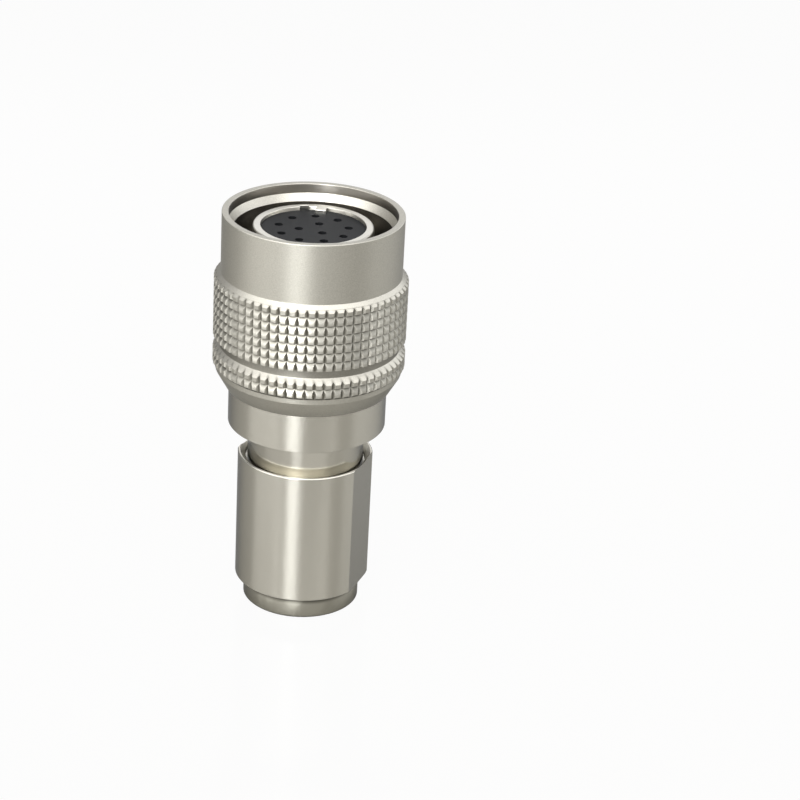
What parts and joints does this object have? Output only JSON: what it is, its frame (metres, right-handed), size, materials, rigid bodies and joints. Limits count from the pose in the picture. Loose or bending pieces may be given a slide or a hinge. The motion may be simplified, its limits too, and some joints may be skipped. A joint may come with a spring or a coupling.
{
  "type": "push pull circular connector",
  "caption": "Push pull circular cable plug with socket contacts, knurled sliding sleeve, keyed inner shell, latch ring and clamped cable entry with wrench flats.",
  "frame": {"origin": "centre of the cable end's face, where the plug stands", "axes": "+Z along the plug's axis towards the mating end, +X square to a wrench flat, +Y towards the set screw"},
  "size_m": [0.015, 0.015, 0.0327],
  "materials": {
    "sleeve_metal": "satin nickel over turned and knurled brass",
    "body_metal": "satin nickel over turned brass",
    "latch_metal": "nickel plated",
    "spring_steel": "plain stainless steel",
    "insulator_plastic": "matt moulded black plastic",
    "contact_gold": "thin gold plating on turned brass",
    "gasket_rubber": "matt black rubber"
  },
  "bodies": {
    "plug": {"plug_body": "body_metal", "inner_shell": "body_metal", "lock_ring": "latch_metal", "return_spring": "spring_steel", "insulator_front": "insulator_plastic", "insulator_rear": "insulator_plastic", "insulator_nut": "body_metal", "socket_contact_01": "contact_gold", "socket_contact_02": "contact_gold", "socket_contact_03": "contact_gold", "socket_contact_04": "contact_gold", "socket_contact_05": "contact_gold", "socket_contact_06": "contact_gold", "socket_contact_07": "contact_gold", "socket_contact_08": "contact_gold", "socket_contact_09": "contact_gold", "socket_contact_10": "contact_gold", "socket_contact_11": "contact_gold", "socket_contact_12": "contact_gold", "rear_shell": "body_metal", "cable_clamp": "body_metal", "cable_gasket": "gasket_rubber", "clamp_washer": "latch_metal", "set_screw": "spring_steel"},
    "sleeve": {"coupling_sleeve": "sleeve_metal"}
  },
  "joints": [
    {"name": "sleeve_slide", "type": "slide", "parent": "plug", "child": "sleeve", "axis": [0, 0, -1], "range_m": [0, 0.002], "stiffness_N_per_m": 1500, "springref_m": -0.001, "deforming": ["return_spring"]}
  ]
}
